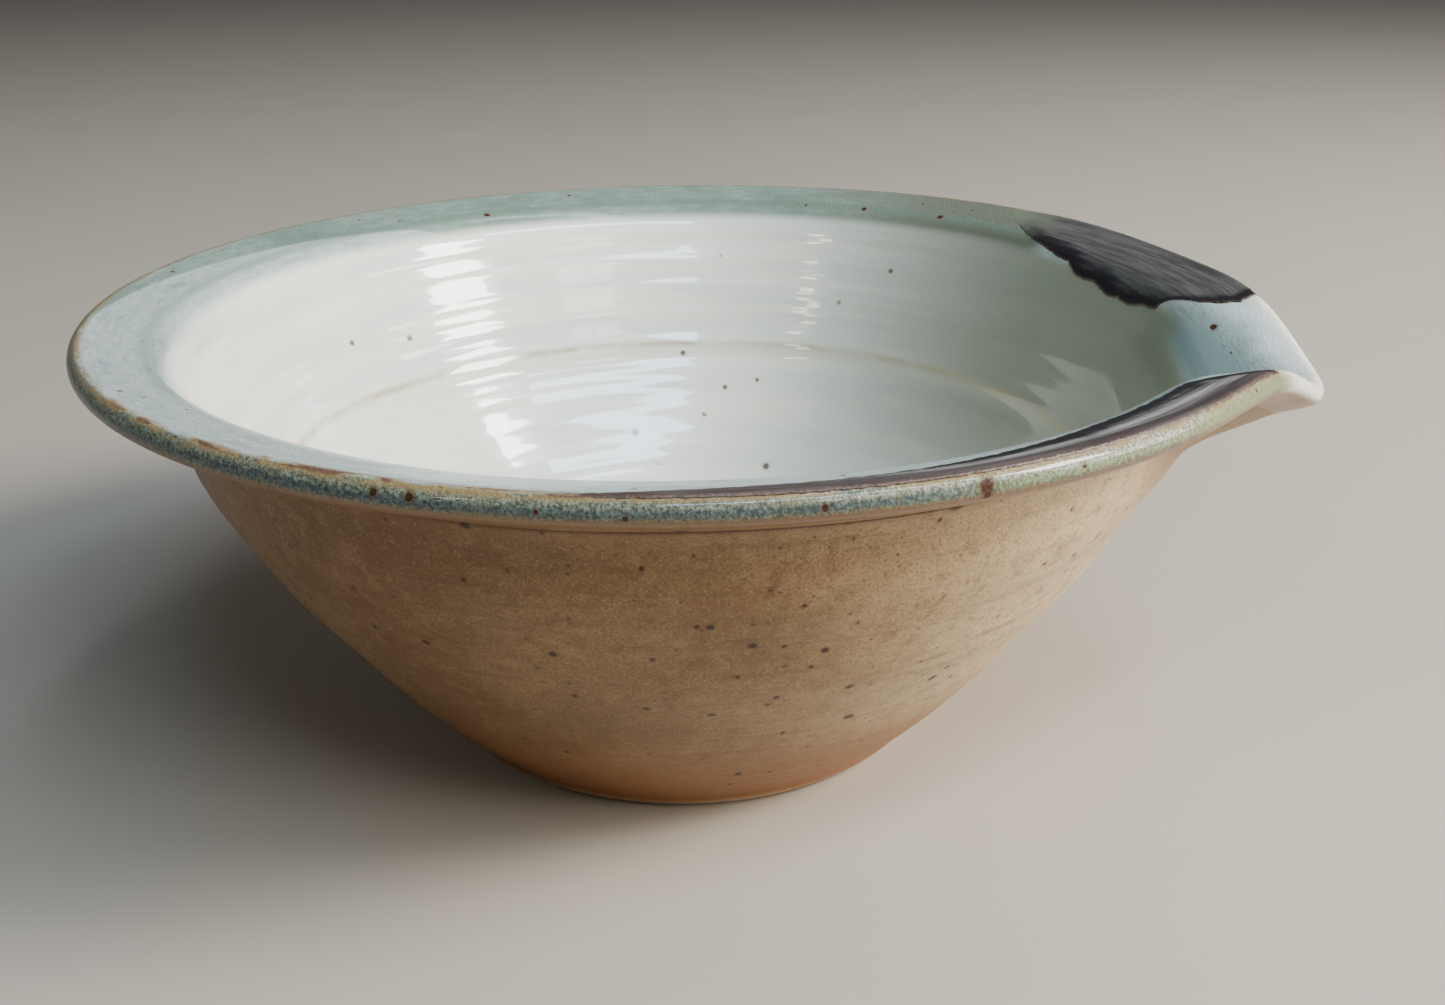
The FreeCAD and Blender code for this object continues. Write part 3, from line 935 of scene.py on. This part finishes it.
def clay_material():
    n = Nodes("bare_clay_material")
    along = n.attribute("along")
    grain = n.noise(2.4, 5.0, 0.75)
    colour = n.mix(n.step(n.noise(0.05), 0.35, 0.65), CLAY, CLAY_PALE)
    colour = n.mix(n.step(grain, 0.52, 0.72), colour, CLAY_GRAIN, 0.4)
    turning = n.streaks(along, 1.2, 1.7, 2.0, 0.5)
    colour = n.mix(n.step(turning, 0.5, 0.7), colour, CLAY_TURNED, 0.25)
    core, halo = n.specks(4.0, 0.45, 0.3)
    colour = n.mix(halo, colour, HALO, 0.3)
    colour = n.mix(core, colour, IRON_DARK, 0.85)
    height = n.math("ADD", grain, turning)
    return n.surface(colour, grain, 0.70, 0.88, height, strength=0.5, distance=0.0006)


def iron_material(name, spec):
    """Iron brushed on the rim: nearly black where it is thick, streaked grey-brown where thin, and on the
    right patch lightened there as a painted sheen.
    """
    n = Nodes(name)
    along = n.attribute("along")
    inset = n.attribute("inset")
    from_crest = n.math("SUBTRACT", along, CREST_AT)
    brush = n.streaks(along, 7.0, 0.9, 4.0, 0.6)
    fine = n.noise(2.2, 3.0, 0.7)
    dark = n.mix(fine, BLACK, BLACK_PALE)
    # The worn colours of the right patch are lightened as a painted sheen
    worn_and_sheen = n.mix(n.step(brush, 0.35, 0.68), spec["worn_and_sheen_dark"], spec["worn_and_sheen_pale"])
    depth = n.math("MULTIPLY_ADD", n.math("SUBTRACT", n.noise(0.12), 0.5), 3.0, inset)
    depth = n.math("MULTIPLY_ADD", n.math("SUBTRACT", brush, 0.5), 2.5, depth)
    # Thin towards the crest, where the brush was lifted, but thick again at the head
    depth = n.math("ADD", depth, n.product(n.step(from_crest, -7.0, -2.0), 5.0))
    depth = n.math("MINIMUM", depth, n.math("MULTIPLY_ADD", n.attribute("ahead"), 1.6, -1.0))
    colour = n.mix(n.step(depth, 2.2, 6.0), dark, worn_and_sheen)
    purple = n.mix(fine, PURPLE, PURPLE_PALE)
    colour = n.mix(n.step(from_crest, -4.6, -2.2), colour, purple, spec["stripe"])
    grains = n.product(n.step(inset, 0.9, 0.1), n.step(fine, 0.44, 0.60))
    colour = n.mix(grains, colour, RUST_GRAIN, 0.75)
    # The tail breaks up into the glaze below it
    broken = n.math("SUBTRACT", n.streaks(along, 16.0, 0.4), 0.5)
    run = n.math("MULTIPLY_ADD", broken, 20.0, n.attribute("run"))
    tail = n.step(run, spec["fading"], spec["fading"] * 0.1)
    colour = n.mix(tail, colour, rim_colour(n, from_crest))
    n.gloss(weight=0.08, roughness=0.25)
    n.shader.inputs["Specular IOR Level"].default_value = 0.25
    height = n.math("MULTIPLY_ADD", brush, 0.6, n.math("MULTIPLY", fine, 0.6))
    return n.surface(colour, brush, 0.34, 0.52, height, strength=0.25, distance=0.0004)


# ---------------------------------------------------------------- stage, lights and camera

# The stage is in metres
FLOOR_REACH = 4.0
FLOOR_COLOURS = ((0.375, 0.32, 0.255), (0.405, 0.35, 0.28))
SKY = (0.78, 0.85, 0.93, 1.0)
SKY_STRENGTH = 0.13
LAMP_TARGET = (0.0, 0.0, 0.07)

# Lamps, as name, azimuth, elevation, distance, size, power and colour, in degrees and metres.
# The key window on the right is the main light
LAMPS = [
    ("key_window", 0.0, 36.0, 1.8, (0.50, 0.48), 60.0, (1.0, 0.98, 0.95)),
    ("high_window", -42.0, 57.0, 1.8, (1.50, 0.16), 28.0, (0.52, 0.74, 1.0)),
    ("skylight", 10.0, 76.0, 2.0, (1.40, 0.16), 5.0, (0.80, 0.82, 1.0)),
    ("front_pane_left", -48.0, 38.0, 2.0, (0.22, 0.46), 3.4, (1.0, 0.98, 0.92)),
    ("front_pane_right", -39.0, 38.0, 2.0, (0.22, 0.46), 3.4, (0.97, 1.0, 0.95)),
    ("garden_high", -116.0, 40.0, 2.0, (0.14, 0.12), 1.3, (1.0, 1.0, 0.85)),
    ("garden_low", -118.0, 34.0, 2.0, (0.12, 0.14), 1.2, (1.0, 1.0, 0.85)),
    ("low_right", 5.0, 13.0, 1.6, (0.9, 0.45), 22.0, (1.0, 0.94, 0.85)),
]

SENSOR_WIDTH = 36.0
FOCAL_LENGTH = 37.37
CAMERA_PLACE = (0.09088, -0.32118, 0.18404)
CAMERA_HEADING = 14.26
CAMERA_TILT = 67.94
CAMERA_LEVEL = -0.42


def floor_material():
    n = Nodes("pale_floor_material")
    colour = n.mix(n.noise(0.01), *FLOOR_COLOURS)
    return n.surface(colour, n.noise(0.2), 0.65, 0.75, n.noise(0.8), strength=0.05, distance=0.0005)


def floor():
    reach = FLOOR_REACH
    mesh = bpy.data.meshes.new("studio_floor")
    corners = [(-reach, -reach, 0), (reach, -reach, 0), (reach, reach, 0), (-reach, reach, 0)]
    mesh.from_pydata(corners, [], [(0, 1, 2, 3)])
    mesh.materials.append(floor_material())
    plane = bpy.data.objects.new("studio_floor", mesh)
    bpy.context.collection.objects.link(plane)


def softbox(name, azimuth, elevation, distance, size, power, colour):
    """Rectangular lamp aimed at the bowl from an azimuth and elevation in degrees."""
    a = math.radians(azimuth)
    e = math.radians(elevation)
    target = Vector(LAMP_TARGET)
    lamp = bpy.data.lights.new(name, "AREA")
    lamp.shape = "RECTANGLE"
    lamp.size, lamp.size_y = size
    lamp.energy = power
    lamp.color = colour
    holder = bpy.data.objects.new(name, lamp)
    away = Vector((math.cos(e) * math.cos(a), math.cos(e) * math.sin(a), math.sin(e)))
    holder.location = target + distance * away
    holder.rotation_euler = away.to_track_quat("Z", "Y").to_euler()
    bpy.context.collection.objects.link(holder)


def lights():
    world = bpy.data.worlds.new("studio_world")
    world.use_nodes = True
    background = world.node_tree.nodes["Background"]
    background.inputs["Color"].default_value = SKY
    background.inputs["Strength"].default_value = SKY_STRENGTH
    bpy.context.scene.world = world
    for lamp in LAMPS:
        softbox(*lamp)


def camera():
    """Close in front, a little above the rim, with the spout to the right."""
    lens = bpy.data.cameras.new("camera")
    lens.sensor_width = SENSOR_WIDTH
    lens.lens = FOCAL_LENGTH
    holder = bpy.data.objects.new("camera", lens)
    bpy.context.collection.objects.link(holder)
    heading = Matrix.Rotation(math.radians(CAMERA_HEADING), 4, "Z")
    tilt = Matrix.Rotation(math.radians(CAMERA_TILT), 4, "X")
    level = Matrix.Rotation(math.radians(CAMERA_LEVEL), 4, "Z")
    holder.matrix_world = Matrix.Translation(CAMERA_PLACE) @ heading @ tilt @ level
    bpy.context.scene.camera = holder


def main():
    pieces = [
        (clay_body(), clay_material(), "bare_stoneware", "stoneware_body"),
        (liner_coat(), liner_material(), "liner_glaze", "liner_glaze"),
        (rim_coat(), rim_material(), "rim_glaze", "rim_glaze"),
        (outer_coat(), outer_material(), "outer_glaze", "outer_glaze"),
        (iron_coat("iron_right", IRON_RIGHT), iron_material("iron_right_material", IRON_RIGHT),
         "iron_wash", "iron_patch_right"),
        (iron_coat("iron_left", IRON_LEFT), iron_material("iron_left_material", IRON_LEFT),
         "iron_wash", "iron_patch_left"),
    ]
    for piece, material, slot, node in pieces:
        piece.data.materials.append(material)
        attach(piece, "root")
        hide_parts(node)
    floor()
    lights()
    camera()


main()
